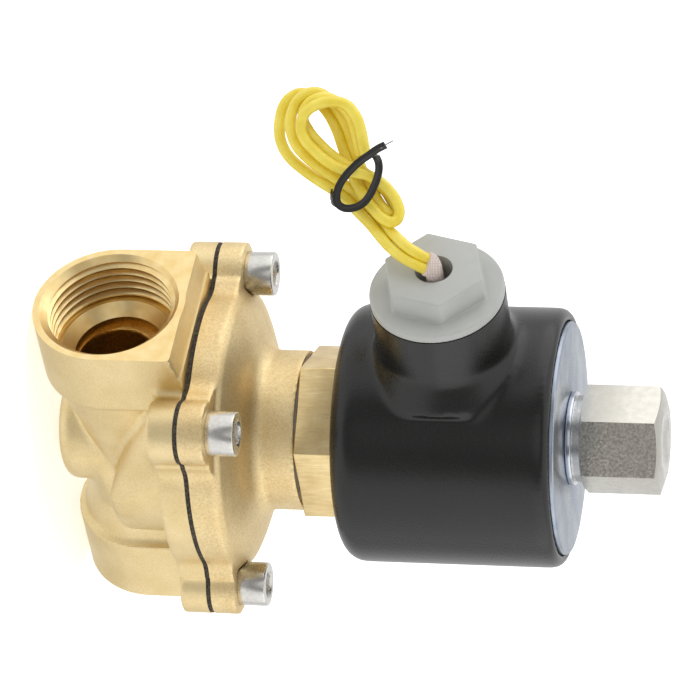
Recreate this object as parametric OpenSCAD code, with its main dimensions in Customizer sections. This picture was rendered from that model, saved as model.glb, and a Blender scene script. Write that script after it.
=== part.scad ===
// Two-way solenoid valve, normally open, pipe size 3/4, with a turnable coil.
// The origin is on the inlet port's axis, where its thread starts behind the mouth
// chamfer. +X is the flow direction, +Z runs up the valve stem towards the coil.

/* [Ports] */
// Distance from the stem axis to each port's mouth
port_reach = 34.7; // [33.8:0.1:40]
// Radius of the port wall at the root of its thread
port_r = 13.22; // [11:0.02:13.3]
// Length of the threaded wall behind the chamfer
thread_len = 9.7; // [8.5:0.1:10.5]
// Metal round the port thread
boss_wall = 2.03; // [1.8:0.01:4]
// Length of the round port bosses
boss_len = 14.7; // [13:0.1:16]
// Width of the chamfer at a port's mouth
mouth_chamfer = 0.55; // [0.2:0.05:1]

/* [Body] */
// Height of the body flange's underside above the port axis
flange_base = 10.9; // [10:0.1:14]
// Thickness of the body flange
body_flange_t = 5.3; // [4:0.1:8]
// Radius of the flange between its ears
flange_r = 28.3; // [27.5:0.1:29]
// Radius of an ear round its screw
ear_r = 6.8; // [6.4:0.1:7.6]
// Radius of the hollow between an ear and the flange
ear_fillet = 6; // [2:0.5:8]
// Outer radius of the diaphragm chamber
chamber_r = 21; // [19.5:0.1:22]
// Thickness of the chamber's wall
chamber_wall = 2.5; // [1.5:0.1:3]
// Outer radius of the column under the seat
column_r = 11; // [10.6:0.1:12]
// Radius of the seat's orifice
orifice_r = 9; // [7:0.1:9.4]
// Depth of the column's foot below the port axis
column_depth = 14; // [12:0.1:15]

/* [Fasteners] */
// Spacing of the four bonnet screws
screw_pitch = 44; // [43:0.1:45]
// Nominal screw diameter
screw_d = 5; // [4:0.5:5]
// Length of a screw under its head
screw_len = 12; // [8:0.5:12]
// Diameter of a screw's head
head_d = 8.8; // [8:0.1:9.2]
// Width across the flats of a screw's hexagon socket
socket_af = 4; // [3:0.5:5]

/* [Bonnet] */
// Thickness of the diaphragm's rim
rim_t = 1.4; // [1:0.1:2]
// Thickness of the bonnet's flange
bonnet_flange_t = 5.3; // [4:0.1:8]
// Height of the bonnet's neck above its flange
neck_h = 12.7; // [11:0.1:16]
// Radius of the bonnet's neck
neck_r = 16; // [15:0.1:17.5]
// Inner radius of the bonnet over the diaphragm
dome_r = 19; // [17:0.1:20]
// Radius of the thread that holds the tube base
spigot_r = 12; // [10:0.1:13]

/* [Tube] */
// Width across the flats of the tube base
base_af = 30.6; // [28:0.1:32]
// Height of the tube base's hexagon
base_h = 8.2; // [6:0.1:12]
// Thickness of the gasket under the tube base
base_gasket_t = 0.4; // [0.3:0.1:1.5]
// Outer radius of the armature tube
tube_r = 8.25; // [7:0.05:8.5]
// Wall of the armature tube
tube_wall = 0.65; // [0.4:0.05:1]

/* [Mechanism] */
// Stroke of the armature
armature_stroke = 5; // [3:0.1:5]
// Share of the stroke that the hub follows
hub_share = 0.8; // [0.7:0.05:0.8]
// Length of the armature
armature_len = 21; // [16:0.5:24]
// Radial running gap of the armature
running_gap = 0.1; // [0.05:0.01:0.1]
// Radius of the push rod
rod_r = 2; // [1.5:0.1:2.2]
// Radius of the pilot orifice in the hub
pilot_r = 1.25; // [0.8:0.05:1.5]
// Turns of the return spring
spring_turns = 6; // [4:1:8]
// Radius of the spring wire
spring_wire_r = 0.45; // [0.3:0.05:0.6]

/* [Coil] */
// Outer radius of the coil can
can_r = 25.75; // [24:0.05:30]
// Height of the coil can
can_h = 43.7; // [40:0.1:50]
// Sheet thickness of the can
can_wall = 1.5; // [1:0.1:2]
// Radius of the zinc-plated end plate
end_plate_r = 23.07; // [20:0.01:23.2]
// Thickness of the end plate
end_plate_t = 2.2; // [1.5:0.1:3]
// How far the end plate stands above the can's rim
end_plate_proud = 0.6; // [0.2:0.1:1.5]
// Outer radius of the winding
winding_r = 19.5; // [15:0.1:20]

/* [Conduit] */
// Height of the conduit's axis above the can's foot
conduit_rise = 21.9; // [18:0.1:24]
// Radius of the conduit boss
conduit_r = 13.2; // [12:0.1:15]
// Distance from the stem axis to the conduit boss's face
conduit_reach = 39.3; // [36:0.1:44]
// Radius of the thread inside the conduit boss
conduit_thread_r = 9.4; // [8:0.1:10]
// Thickness of the plug's round flange
plug_flange_t = 2; // [1.5:0.1:3]
// Width across the flats of the plug's hexagon
plug_af = 17.9; // [16:0.1:20]
// Height of the plug's hexagon
plug_hex_h = 5.1; // [4:0.1:8]
// Radius of the hole through the plug
plug_hole_r = 3.7; // [3.1:0.1:4.5]

/* [Top nut] */
// Width across the flats of the top nut
nut_af = 19; // [17:0.1:22]
// Height of the nut's hexagon
nut_h = 16; // [10:0.5:20]
// Turn of the nut about the stem, in degrees
nut_turn = 25.3; // [0:0.1:60]
// Radius of the stud that the nut turns on
stud_r = 4.9; // [4:0.1:6]

/* [Leads] */
// Diameter of a lead
lead_d = 2.2; // [1.8:0.1:2.3]
// Turn of the hanging leads about the stem, in degrees
lead_turn = -45; // [-60:1:-30]

/* [Hidden] */
$fn = 72;
hull_fn = 32;
fillet_fn = 16;
eps = 0.05;
over = 1;
fit = 0.05;
loose = 0.25;
seated_gap = 0.1;

// Heights, all from the port axis
body_top = flange_base + body_flange_t;
rim_top = body_top + rim_t;
bonnet_top = rim_top + bonnet_flange_t;
neck_top = bonnet_top + neck_h;
base_bottom = neck_top + base_gasket_t;
can_foot = base_bottom + base_h;
can_top = can_foot + can_h;
plate_top = can_top + end_plate_proud;
plate_bottom = plate_top - end_plate_t;
conduit_z = can_foot + conduit_rise;

// Body
stem_x = port_reach - mouth_chamfer;
thread_end = stem_x - thread_len;
boss_r = port_r + boss_wall;
smooth_r = port_r - 2.2;
smooth_len = 2.4;
boss_top = body_top - 1.3;
land_end = flange_r + 0.6;
land_start = flange_r - 4;
screw_r = screw_d / 2;
screw_half = screw_pitch / 2;
screw_circle = screw_half * sqrt(2);
chamber_bottom = -2;
chamber_skirt = 3.4;
chamber_deep_h = 6;
chamber_fillet = 2;
chamber_floor = 7.8;
chamber_step_x = 3;
seat_root = 7;
foot_fillet = 2.5;
neck_end_r = boss_r - 1.25;
neck_low = -3;
neck_rise = 11;
elbow_x = 14;
elbow_r = column_r + 1;
elbow_start = port_reach - boss_len + 6;
pocket_low = -6.5;
pocket_high = 8;
passage_r = 7.5;
passage_drop = 4.5;
passage_tilt = 80;
passage_mouth_r = 8.9;
passage_mouth_len = 2.2;
gallery_gap = 1;

// Bonnet. Its cone is a list of [radius, height above the flange].
cone_outline = [[flange_r - 1.1, 1.1], [flange_r - 3.5, 2.2], [neck_r + 5.6, 3.4], [neck_r + 3.2, 4.1],
    [neck_r + 1.5, 4.9], [neck_r + 0.6, 5.7], [neck_r, 6.6]];
dome_h = 3;
dome_neck_h = 6;
head_chamfer = 0.5;
base_gasket_r = neck_r - 0.6;

// Hub, at rest with the valve open
hub_stroke = armature_stroke * hub_share;
seat_disc_t = 2.2;
seat_disc_r = column_r + 0.6;
seat_top = body_top - seat_disc_t - hub_stroke - seated_gap;
hub_r = 3.5;
hub_flange_r = orifice_r - 1.5;
hub_flange_t = 1.5;
plate_r = 11;
plate_t = 1.6;
cage_sheet = 0.6;
cage_r = 7.8;
cage_foot_r = 9.5;
cage_slot = 3.2;
cage_slot_low = 1.6;
cage_slot_gap = 1.2;
dome_neck_r = cage_foot_r + 3.5;
hub_nut_af = 11;
hub_nut_h = 2.6;
hub_plate_top = rim_top + plate_t;
hub_nut_bottom = hub_plate_top + cage_sheet;
hub_nut_top = hub_nut_bottom + hub_nut_h;
nozzle_wall = 0.9;
nozzle_top = hub_nut_top + 0.8;
pilot_gap = armature_stroke - hub_stroke + fit;
seal_r = 2.4;
seal_t = 2.2;
seal_grip = 1;
seal_bottom = nozzle_top + pilot_gap;
seal_top = seal_bottom + seal_t;
collar_r = 4.2;
collar_t = 1.2;
collar_bottom = seal_top + 1;
collar_top = collar_bottom + collar_t;
cage_roof = collar_top + fit;
cage_top = cage_roof + cage_sheet;

// Tube and armature
tube_bottom = cage_top + 0.6;
bore_r = tube_r - tube_wall;
armature_r = bore_r - running_gap;
pole_r = bore_r - fit;
tube_top = plate_top - seated_gap;
stud_plug_t = 4.4;
stud_gap = 0.5;
armature_top = tube_top - stud_plug_t - fit;
armature_bottom = armature_top - armature_len;
pole_top = armature_bottom - armature_stroke - fit;
spring_pocket_r = 5.2;
spring_pocket_depth = 6;
spring_r = spring_pocket_r - spring_wire_r - 0.2;
spring_bottom = pole_top - spring_pocket_depth;
spring_closed = 0.12;
spring_steps = 14;
spring_sides = 6;
spring_creep = 0.0001;
rod_depth = 9;
groove_w = 1.6;
groove_depth = 0.6;

// Nut
washer_r = 9.3;
washer_t = 1.2;
washer_top = plate_top + washer_t;
nut_collar_r = 8.6;
nut_collar_h = 1.6;
nut_bottom = washer_top + nut_collar_h;
nut_top = nut_bottom + nut_h;
nut_bore_roof = 4;
nut_dish_r = 4.85;
nut_dish_depth = 0.9;

// Coil
can_fillet = 4;
rim_fillet = 2.2;
cavity_r = can_r - can_wall;
mouth_r = end_plate_r + fit;
can_floor = can_foot + can_wall + 0.5;
flux_t = 1.5;
bobbin_wall = 1.2;
bobbin_bottom = can_floor + flux_t;
bobbin_in = tube_r + loose;
bobbin_out = bobbin_in + bobbin_wall;
wrap_t = 0.6;
coil_hole_r = tube_r + 0.15;

// Conduit
conduit_root = 3.4;
conduit_root_len = 4;
conduit_root_out = 2;
plug_flange_r = conduit_r - 0.1;
plug_fillet = 0.5;
plug_face = conduit_reach + plug_flange_t;
plug_end = plug_face + plug_hex_h;
plug_spigot_len = 9.3;
plug_spigot_wall = 2.3;
plug_turn = 14.9;
base_turn = -1.4;
sleeve_wall = 0.4;
sleeve_r = plug_hole_r - 0.4;
sleeve_start = conduit_reach - plug_spigot_len;
sleeve_end = plug_end + 0.6;

// Leads. Each point is [out, towards the front, height] from the stem axis,
// with "out" along lead_turn. lead_half keeps the pair side by side.
lead_half = lead_d / 2 + 2 * fit;
lead_start = winding_r + wrap_t + 0.2;
lead_sides = 8;
lead_step = 5;
lead_a_route = [[33.1, 35, 65.8], [33.3, 35.2, 64], [33, 34.6, 61.6], [34.6, 34.2, 59.2],
    [37.4, 33.8, 56.8], [41.6, 33.4, 53.6]];
lead_b_route = [[36, 34.7, 65.8], [35.9, 35.2, 64.2], [36.4, 34.6, 62], [38.3, 34.2, 59.8],
    [40.2, 33.8, 57.6], [41.8, 33.4, 56.5]];
hank_front = 36;
hank_t = 6.2;
hank_big = [58.6, 43.8];
hank_big_r = 9.7;
hank_hole_r = 4.6;
hank_small = [45.6, 56];
hank_small_r = 4.6;
hank_neck_half = 4.4;
tie_centre = [50.4, 51.5];
tie_ring_r = 6;
tie_start = 200;
tie_steps = 16;
tie_tail_turn = [0.8, 0.5, 0.3];
tie_wire_r = 0.6;
tie_tail_len = 4;

brass = [0.80, 0.66, 0.38];
bright_brass = [0.83, 0.68, 0.36];
steel = [0.72, 0.72, 0.74];
satin_black = [0.06, 0.06, 0.065];
plug_grey = [0.60, 0.62, 0.64];
lead_yellow = [0.90, 0.80, 0.22];
rubber_black = [0.09, 0.08, 0.07];
gasket_grey = [0.62, 0.62, 0.60];

// Helpers
function corner_r(af) = af / 2 / cos(30);
function arm_angle(a, b, c) = acos((a * a + b * b - c * c) / (2 * a * b));
function unit(v) = v / norm(v);

module at_stem(z = 0) translate([stem_x, 0, z]) children();

// Local Z becomes +X, local X becomes +Y, local Y becomes +Z
module along_x() rotate([90, 0, 90]) children();

module ring(outer_r, inner_r, h) difference() {
    cylinder(r = outer_r, h = h);
    translate([0, 0, -eps]) cylinder(r = inner_r, h = h + 2 * eps);
}

module hexagon(af, h) cylinder(r = corner_r(af), h = h, $fn = 6);

// A hexagon with its corners turned off by cones at both ends
module chamfered_hexagon(af, h) {
    edge = corner_r(af);
    slope = (edge - af / 2) * tan(30);
    intersection() {
        hexagon(af, h);
        rotate_extrude()
            polygon([[0, 0], [af / 2, 0], [edge, slope], [edge, h - slope], [af / 2, h], [0, h]]);
    }
}

// Half profile of a disc with true round edges
module rounded_profile(r, h, bottom_fillet, top_fillet) {
    low = max(bottom_fillet, eps);
    high = max(top_fillet, eps);
    square([r - max(low, high), h]);
    translate([0, low]) square([r, h - low - high]);
    translate([0, 0]) square([r - low, low]);
    translate([0, h - high]) square([r - high, high]);
    translate([r - low, low]) circle(low);
    translate([r - high, h - high]) circle(high);
}

module rounded_disc(r, h, bottom_fillet, top_fillet)
    rotate_extrude() rounded_profile(r, h, bottom_fillet, top_fillet);

module at_screws() for (i = [0:3]) rotate(45 + 90 * i) translate([screw_circle, 0]) children();

// Flange outline: a disc, four ears and a tangent hollow beside each ear
module flange_outline() {
    far = flange_r + ear_fillet;
    near = ear_r + ear_fillet;
    swing = arm_angle(far, screw_circle, near);
    circle(flange_r);
    for (i = [0:3]) rotate(45 + 90 * i) {
        translate([screw_circle, 0]) circle(ear_r);
        for (side = [-1, 1]) difference() {
            polygon([[0, 0], [far * cos(swing), side * far * sin(swing)], [screw_circle, 0]]);
            translate([far * cos(swing), side * far * sin(swing)]) circle(ear_fillet);
        }
    }
}

// Section of a port boss: round below, with straight walls up to the flange
module boss_section(top) {
    circle(boss_r);
    translate([-boss_r, 0]) square([2 * boss_r, top]);
}

// One port boss with the sloped land between its face and the flange
module port_boss() {
    translate([port_reach - boss_len, 0, 0]) along_x() linear_extrude(boss_len) boss_section(boss_top);
    rotate([90, 0, 0]) translate([0, 0, -boss_r]) linear_extrude(2 * boss_r)
        polygon([[land_start, boss_top - eps], [port_reach, boss_top - eps], [land_end, body_top],
            [land_start, body_top]]);
}

// Threaded wall, its mouth chamfer and the smooth bore behind it
module port_cut() {
    translate([thread_end, 0, 0]) along_x() cylinder(r = port_r, h = thread_len + over);
    translate([port_reach - mouth_chamfer, 0, 0]) along_x()
        cylinder(r1 = port_r, r2 = port_r + mouth_chamfer + eps, h = mouth_chamfer + eps);
    translate([thread_end - smooth_len, 0, 0]) along_x() cylinder(r = smooth_r, h = smooth_len + over);
}

// Chamber wall whose floor slopes up towards the outlet
module chamber_wall_solid() hull() {
    translate([0, 0, flange_base - chamber_skirt])
        cylinder(r = chamber_r, h = chamber_skirt + eps, $fn = 2 * hull_fn);
    intersection() {
        translate([0, 0, chamber_bottom]) rotate_extrude($fn = hull_fn)
            rounded_profile(chamber_r, chamber_deep_h - over, chamber_fillet, eps, $fn = fillet_fn);
        translate([-2 * chamber_r, -chamber_r, chamber_bottom])
            cube([2 * chamber_r, 2 * chamber_r, chamber_deep_h]);
    }
}

// Outlet passage from the boss down to the column under the seat
module outlet_neck() hull() {
    translate([port_reach - boss_len, 0, 0]) along_x() cylinder(r = neck_end_r, h = eps, $fn = hull_fn);
    translate([0, 0, neck_low]) cylinder(r = column_r, h = neck_rise, $fn = hull_fn);
}

// Inlet elbow that rounds off under the chamber
module inlet_elbow() hull() {
    translate([-elbow_start, 0, 0]) along_x() cylinder(r = boss_r, h = eps, $fn = hull_fn);
    translate([-elbow_x, 0, 0]) sphere(elbow_r, $fn = hull_fn);
}

// Shoulders over the elbow, drawn in towards the chamber
module elbow_shoulder() hull() {
    translate([-elbow_start - eps, 0, 0]) along_x() linear_extrude(eps)
        boss_section(boss_top, $fn = hull_fn);
    translate([-elbow_x, 0, 0]) cylinder(r = elbow_r, h = boss_top, $fn = hull_fn);
}

// Web that closes the pocket between the elbow and the column
module elbow_web() hull() {
    translate([0, 0, pocket_low]) cylinder(r = column_r, h = pocket_high - pocket_low, $fn = hull_fn);
    translate([-elbow_x, 0, 0]) sphere(elbow_r, $fn = hull_fn);
}

module valve_body() color(brass) at_stem() difference() {
    union() {
        translate([0, 0, flange_base]) linear_extrude(body_flange_t) flange_outline();
        port_boss();
        mirror([1, 0, 0]) port_boss();
        chamber_wall_solid();
        outlet_neck();
        inlet_elbow();
        elbow_shoulder();
        elbow_web();
        translate([0, 0, -column_depth])
            rounded_disc(column_r, column_depth + flange_base, foot_fillet, eps);
    }
    port_cut();
    mirror([1, 0, 0]) port_cut();
    // Passage under the seat, its mouth in the port, and the orifice above it
    translate([0, 0, -passage_drop]) rotate([0, passage_tilt, 0])
        cylinder(r = passage_r, h = thread_end - smooth_len);
    translate([thread_end - smooth_len - passage_mouth_len, 0, 0]) along_x()
        cylinder(r = passage_mouth_r, h = passage_mouth_len + eps);
    translate([0, 0, -column_depth + foot_fillet]) cylinder(r = orifice_r, h = column_depth + body_top);
    // Ring-shaped chamber round the seat, deeper on the inlet side
    difference() {
        translate([0, 0, chamber_floor]) cylinder(r = chamber_r - chamber_wall, h = body_top);
        translate([0, 0, seat_root]) cylinder(r = column_r, h = seat_top - seat_root);
    }
    difference() {
        cylinder(r = chamber_r - chamber_wall, h = body_top);
        translate([0, 0, -eps]) cylinder(r = column_r, h = seat_top + eps);
        translate([-chamber_step_x, -chamber_r, -eps]) cube([2 * chamber_r, 2 * chamber_r, body_top]);
    }
    translate([-thread_end, 0, 0]) along_x()
        cylinder(r = orifice_r, h = thread_end - column_r - gallery_gap);
    at_screws() translate([0, 0, flange_base - eps]) cylinder(r = screw_r, h = body_flange_t + 2 * eps);
}

module diaphragm() color(rubber_black) at_stem(body_top) {
    roll_r = 15.2;
    roll_in = 1.3;
    inner_edge = roll_r - roll_in - rim_t;
    outer_edge = roll_r + roll_in;
    difference() {
        union() {
            linear_extrude(rim_t) difference() {
                flange_outline();
                circle(outer_edge);
            }
            rotate_extrude() difference() {
                union() {
                    translate([roll_r, 0]) intersection() {
                        circle(roll_in + rim_t);
                        translate([-2 * roll_r, 0]) square(4 * roll_r);
                    }
                    translate([hub_r + seated_gap, 0]) square([inner_edge - hub_r, rim_t]);
                }
                translate([roll_r, 0]) circle(roll_in);
            }
        }
        at_screws() translate([0, 0, -eps]) cylinder(r = screw_r + loose, h = rim_t + 2 * eps);
    }
}

module bonnet() color(brass) at_stem(rim_top) difference() {
    union() {
        linear_extrude(bonnet_flange_t) flange_outline();
        rotate_extrude() polygon(concat(
            [[0, over], [flange_r - eps, over], [flange_r - eps, bonnet_flange_t]],
            [for (p = cone_outline) [p[0], bonnet_flange_t + p[1]]],
            [[neck_r, bonnet_flange_t + neck_h], [0, bonnet_flange_t + neck_h]]));
    }
    // Room over the diaphragm, then the thread for the tube base
    rotate_extrude() polygon([[0, -over], [dome_r, -over], [dome_r, dome_h], [dome_neck_r, dome_neck_h],
        [cage_foot_r, tube_bottom - rim_top], [0, tube_bottom - rim_top]]);
    translate([0, 0, tube_bottom - rim_top - eps])
        cylinder(r = spigot_r, h = neck_top - tube_bottom + over);
    at_screws() {
        translate([0, 0, -eps]) cylinder(r = screw_r + loose, h = bonnet_flange_t + over);
        translate([0, 0, bonnet_flange_t]) cylinder(r = head_d / 2 + loose, h = neck_h);
    }
}

// Socket-head cap screw standing on z = 0, its shank below
module cap_screw() difference() {
    union() {
        rotate_extrude() polygon([[0, 0], [head_d / 2, 0], [head_d / 2, screw_d - head_chamfer],
            [head_d / 2 - head_chamfer, screw_d], [0, screw_d]]);
        translate([0, 0, -screw_len]) cylinder(r = screw_r - fit, h = screw_len + eps);
    }
    translate([0, 0, screw_d / 2]) hexagon(socket_af, screw_d);
}

module bonnet_screws() color(steel) at_stem(bonnet_top) at_screws() cap_screw();

module base_gasket() color(gasket_grey) at_stem(neck_top)
    ring(base_gasket_r, spigot_r + seated_gap, base_gasket_t);

module tube_base() color(bright_brass) at_stem() difference() {
    union() {
        translate([0, 0, base_bottom]) rotate(base_turn) hexagon(base_af, base_h);
        translate([0, 0, tube_bottom]) cylinder(r = spigot_r - fit, h = base_bottom - tube_bottom + eps);
    }
    translate([0, 0, tube_bottom - eps]) cylinder(r = tube_r, h = can_foot - tube_bottom + 2 * eps);
}

module armature_tube() color(steel) at_stem(tube_bottom) ring(tube_r, bore_r, tube_top - tube_bottom);

module fixed_pole() color(steel) at_stem(tube_bottom) difference() {
    pole_h = pole_top - tube_bottom;
    cylinder(r = pole_r, h = pole_h);
    translate([0, 0, -eps]) cylinder(r = rod_r + loose, h = pole_h + 2 * eps);
    translate([0, 0, pole_h - spring_pocket_depth])
        cylinder(r = spring_pocket_r, h = spring_pocket_depth + eps);
}

module tube_stud() color(steel) at_stem(tube_top - stud_plug_t) {
    cylinder(r = pole_r, h = stud_plug_t);
    translate([0, 0, stud_plug_t - eps])
        cylinder(r = stud_r - fit, h = nut_top - nut_bore_roof - tube_top - stud_gap);
}

// One solid swept along a list of points, with flat ends. The reference is a
// direction that the path never takes.
module swept_tube(path, r, sides, reference = [0, 0, 1]) {
    last = len(path) - 1;
    points = [for (i = [0:last])
        let (
            along = unit(path[min(i + 1, last)] - path[max(i - 1, 0)]),
            across = unit(cross(along, reference)),
            up = cross(across, along)
        )
        for (k = [0:sides - 1]) path[i] + r * (cos(360 * k / sides) * across + sin(360 * k / sides) * up)];
    walls = [for (i = [0:last - 1]) for (k = [0:sides - 1])
        let (a = i * sides + k, b = i * sides + (k + 1) % sides)
        each [[a, b, b + sides], [a, b + sides, a + sides]]];
    start_cap = [for (k = [1:sides - 2]) [0, k + 1, k]];
    end_cap = [for (k = [1:sides - 2]) [last * sides, last * sides + k, last * sides + k + 1]];
    polyhedron(points, concat(walls, start_cap, end_cap), convexity = 6);
}

module return_spring() color(steel) at_stem() {
    steps = spring_steps * spring_turns;
    low = spring_bottom + spring_wire_r + fit;
    rise = armature_bottom - fit - spring_wire_r - low;
    coil_share = 1 - 2 * spring_closed;
    path = [for (i = [0:steps])
        let (
            t = i / steps,
            a = 360 * spring_turns * t,
            lift = min(max((t - spring_closed) / coil_share, 0), 1)
        )
        [spring_r * cos(a), spring_r * sin(a), low + rise * lift + spring_creep * i]];
    swept_tube(path, spring_wire_r, spring_sides);
}

module top_washer() color(steel) at_stem(plate_top) ring(washer_r, stud_r + seated_gap, washer_t);

module top_nut() color(steel) at_stem() difference() {
    dish_ball = (nut_dish_r * nut_dish_r + nut_dish_depth * nut_dish_depth) / (2 * nut_dish_depth);
    union() {
        translate([0, 0, washer_top]) cylinder(r = nut_collar_r, h = nut_collar_h + eps);
        translate([0, 0, nut_bottom]) rotate(nut_turn) chamfered_hexagon(nut_af, nut_h);
    }
    translate([0, 0, washer_top - eps]) cylinder(r = stud_r, h = nut_top - nut_bore_roof - washer_top + eps);
    translate([0, 0, nut_top - nut_dish_depth + dish_ball]) sphere(dish_ball);
}

module pilot_hub() color(bright_brass) at_stem() difference() {
    bottom = body_top - seat_disc_t - hub_flange_t;
    union() {
        translate([0, 0, bottom]) cylinder(r = hub_flange_r, h = hub_flange_t);
        translate([0, 0, bottom]) cylinder(r = hub_r, h = hub_nut_top - bottom);
        translate([0, 0, hub_nut_top - eps])
            cylinder(r = pilot_r + nozzle_wall, h = nozzle_top - hub_nut_top + eps);
    }
    translate([0, 0, bottom - eps]) cylinder(r = pilot_r, h = nozzle_top - bottom + 2 * eps);
}

module seat_disc() color(rubber_black) at_stem(body_top - seat_disc_t)
    ring(seat_disc_r, hub_r + fit, seat_disc_t);

module diaphragm_plate() color(bright_brass) at_stem(rim_top) ring(plate_r, hub_r + fit, plate_t);

// Stamped cage on the hub, whose roof the rod's collar lifts
module lift_cage() color(steel) at_stem(hub_plate_top) {
    roof = cage_roof - hub_plate_top;
    ring(cage_foot_r, hub_r + fit, cage_sheet);
    difference() {
        cylinder(r = cage_r, h = roof + cage_sheet);
        translate([0, 0, -eps]) cylinder(r = cage_r - cage_sheet, h = roof + eps);
        translate([0, 0, -eps]) cylinder(r = rod_r + loose, h = roof + over);
        for (turn = [0, 60, 120]) rotate(turn) translate([-cage_r - over, -cage_slot / 2, cage_slot_low])
            cube([2 * (cage_r + over), cage_slot, roof - cage_slot_low - cage_slot_gap]);
    }
}

module hub_nut() color(bright_brass) at_stem(hub_nut_bottom) difference() {
    hexagon(hub_nut_af, hub_nut_h);
    translate([0, 0, -eps]) cylinder(r = hub_r + fit, h = hub_nut_h + 2 * eps);
}

module armature() color(steel) at_stem(armature_bottom) difference() {
    cylinder(r = armature_r, h = armature_len);
    translate([0, 0, -eps]) cylinder(r = rod_r + fit, h = rod_depth);
    // Grooves that let fluid past
    for (turn = [0, 90]) rotate(turn) for (side = [-1, 1])
        translate([side * armature_r - groove_depth, -groove_w / 2, -eps])
            cube([2 * groove_depth, groove_w, armature_len + 2 * eps]);
}

module push_rod() color(steel) at_stem(seal_top - seal_grip)
    cylinder(r = rod_r, h = armature_bottom + rod_depth - 2 * fit - seal_top + seal_grip);

module rod_collar() color(steel) at_stem(collar_bottom) ring(collar_r, rod_r + fit / 2, collar_t);

module pilot_seal() color(rubber_black) at_stem(seal_bottom) difference() {
    cylinder(r = seal_r, h = seal_t);
    translate([0, 0, seal_t - seal_grip - fit])
        cylinder(r = rod_r + fit / 2, h = seal_grip + over);
}

module coil_can() color(satin_black) at_stem() difference() {
    union() {
        translate([0, 0, can_foot]) rounded_disc(can_r, can_h, can_fillet, rim_fillet);
        translate([0, 0, conduit_z]) along_x() cylinder(r = conduit_r, h = conduit_reach);
        translate([can_r - conduit_root_len, 0, conduit_z]) along_x()
            cylinder(r1 = conduit_r + conduit_root, r2 = conduit_r, h = conduit_root_len + conduit_root_out);
    }
    translate([0, 0, can_foot - eps]) cylinder(r = coil_hole_r, h = can_wall + over);
    translate([0, 0, can_floor]) cylinder(r = cavity_r, h = plate_bottom - can_floor);
    translate([0, 0, plate_bottom - eps]) cylinder(r = mouth_r, h = end_plate_t + over);
    translate([0, 0, conduit_z]) along_x() cylinder(r = conduit_thread_r, h = conduit_reach + over);
}

module end_plate() color([0.74, 0.77, 0.80]) at_stem(plate_bottom)
    ring(end_plate_r, coil_hole_r, end_plate_t);

module flux_washer() color(steel) at_stem(can_floor) ring(cavity_r - loose, coil_hole_r, flux_t);

module bobbin() color("ivory") at_stem(bobbin_bottom) {
    h = plate_bottom - bobbin_bottom;
    ring(bobbin_out, bobbin_in, h);
    for (z = [0, h - bobbin_wall]) translate([0, 0, z]) ring(cavity_r - 2 * loose, bobbin_in, bobbin_wall);
}

module winding() color([0.72, 0.38, 0.20]) at_stem(bobbin_bottom + bobbin_wall)
    ring(winding_r, bobbin_out, plate_bottom - bobbin_bottom - 2 * bobbin_wall);

module coil_wrap() color([0.93, 0.84, 0.42]) at_stem(bobbin_bottom + bobbin_wall)
    ring(winding_r + wrap_t, winding_r, plate_bottom - bobbin_bottom - 2 * bobbin_wall);

module conduit_plug() color(plug_grey) at_stem(conduit_z) difference() {
    union() {
        translate([conduit_reach, 0, 0]) along_x()
            rounded_disc(plug_flange_r, plug_flange_t, eps, plug_fillet);
        translate([plug_face - eps, 0, 0]) along_x() rotate(plug_turn) hexagon(plug_af, plug_hex_h + eps);
        translate([conduit_reach - plug_spigot_len, 0, 0]) along_x()
            cylinder(r = conduit_thread_r - fit, h = plug_spigot_len + eps);
    }
    along_x() cylinder(r = plug_hole_r, h = plug_end + over);
    along_x() cylinder(r = conduit_thread_r - plug_spigot_wall, h = conduit_reach);
}

module lead_sleeve() color([0.93, 0.84, 0.80]) at_stem(conduit_z)
    translate([sleeve_start, 0, 0]) along_x()
        ring(sleeve_r, sleeve_r - sleeve_wall, sleeve_end - sleeve_start);

// From [out, front, height] to the part's own axes, seen from the stem
function lead_point(p) = [p[0] * cos(lead_turn) - p[1] * sin(lead_turn),
    p[0] * sin(lead_turn) + p[1] * cos(lead_turn), p[2]];

module lead(side, route) color(lead_yellow) at_stem() swept_tube(concat(
    [for (x = [lead_start : lead_step : plug_end + over]) [x, side * lead_half, conduit_z]],
    [for (p = route) lead_point(p)]), lead_d / 2, lead_sides, lead_point([0, 1, 0]));

module lead_a() lead(1, lead_a_route);
module lead_b() lead(-1, lead_b_route);

// Puts a flat shape into the upright plane in which the leads hang
module lead_plane(front) at_stem() rotate([90, 0, lead_turn]) translate([0, 0, -front]) children();

// Outer shape of the tied loops: an open round loop on a narrow bundle
module lead_hank() color(lead_yellow) lead_plane(hank_front) linear_extrude(hank_t) difference() {
    reach = hank_small - hank_big;
    union() {
        translate(hank_big) circle(hank_big_r);
        translate(hank_small) circle(hank_small_r);
        translate(hank_big) rotate(atan2(reach[1], reach[0])) translate([0, -hank_neck_half])
            square([norm(reach), 2 * hank_neck_half]);
    }
    translate(hank_big) circle(hank_hole_r);
}

// Wire tie: a loop round the hank whose tail points away from the can
module twist_tie() color([0.05, 0.05, 0.05]) lead_plane(hank_front - hank_t / 2) {
    reach = unit(hank_small - hank_big);
    across = [-reach[1], reach[0], 0];
    middle = [tie_centre[0], tie_centre[1], 0];
    loop = [for (k = [0:tie_steps]) let (a = tie_start + 320 * k / tie_steps)
        middle + tie_ring_r * (cos(a) * across + sin(a) * [0, 0, 1])];
    tail = [for (k = [1:3]) loop[tie_steps] + k * tie_tail_len / 3 * unit(tie_tail_turn)];
    swept_tube(concat(loop, tail), tie_wire_r, lead_sides, [reach[0], reach[1], 0]);
}

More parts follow.
